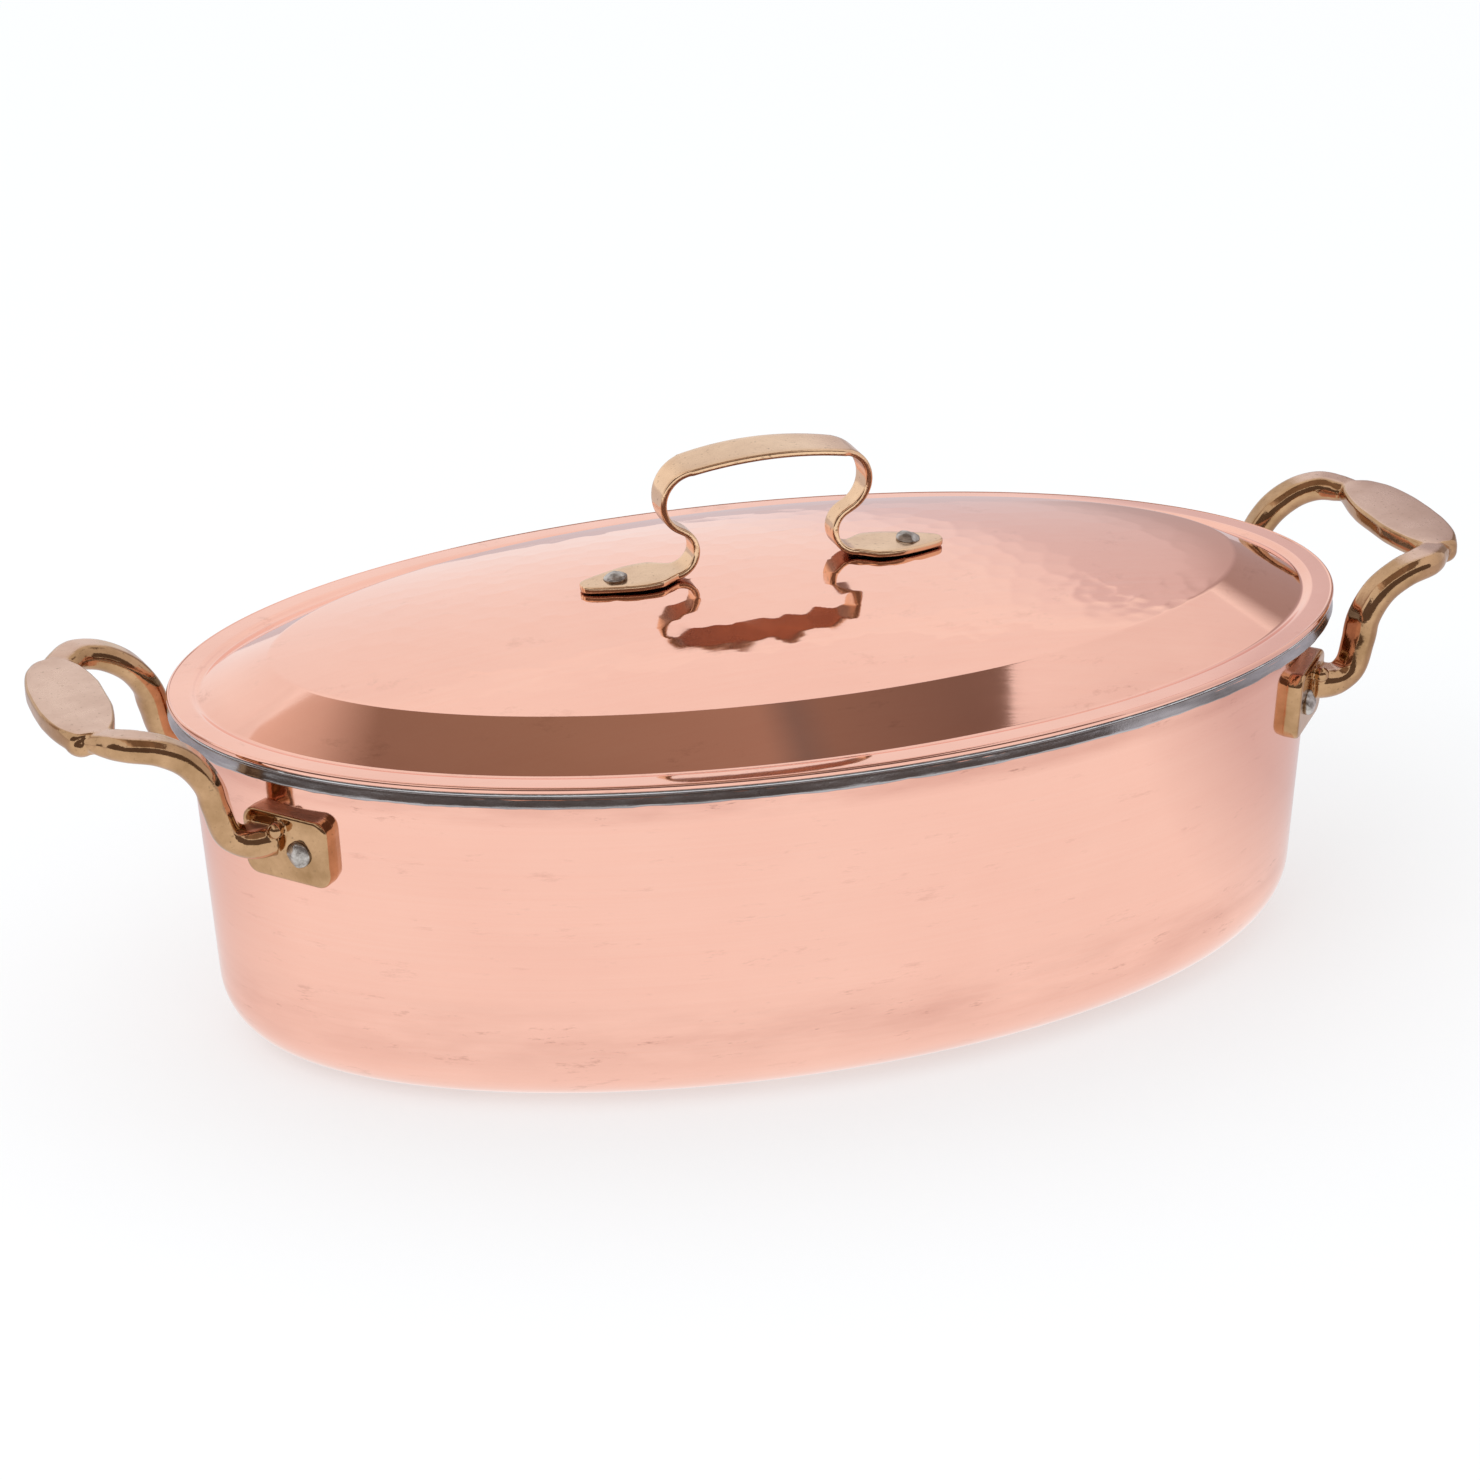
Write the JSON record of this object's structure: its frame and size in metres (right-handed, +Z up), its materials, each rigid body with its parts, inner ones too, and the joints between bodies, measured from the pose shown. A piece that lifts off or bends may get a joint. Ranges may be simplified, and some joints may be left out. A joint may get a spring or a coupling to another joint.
{
  "type": "oval casserole pot",
  "caption": "Oval copper casserole pot with a tinned inside, riveted cast brass side handles and a domed lid with a brass strap handle.",
  "frame": {"origin": "centre of the pot's flat base, on the surface it stands on", "axes": "+X along the oval's long axis toward the right side handle, +Y along its short axis away from the front, +Z up"},
  "size_m": [0.44, 0.213, 0.1665],
  "materials": {
    "copper": "polished copper",
    "brass": "cast and strap brass, softly polished",
    "tin": "wiped tin, dull grey",
    "rivet_metal": "hammered, dull"
  },
  "bodies": {
    "pot": {"pot_shell": "copper", "pot_tin_lining": "tin", "side_handle_left": "brass", "side_handle_right": "brass", "handle_rivet_left_front": "rivet_metal", "handle_rivet_left_back": "rivet_metal", "handle_rivet_right_front": "rivet_metal", "handle_rivet_right_back": "rivet_metal"},
    "lid": {"lid_shell": "copper", "lid_tin_lining": "tin", "lid_handle": "brass", "lid_rivet_left": "rivet_metal", "lid_rivet_right": "rivet_metal"}
  },
  "joints": [
    {"name": "lid_lift", "type": "slide", "parent": "pot", "child": "lid", "axis": [0, 0, 1], "range_m": [0, 0.15]}
  ]
}
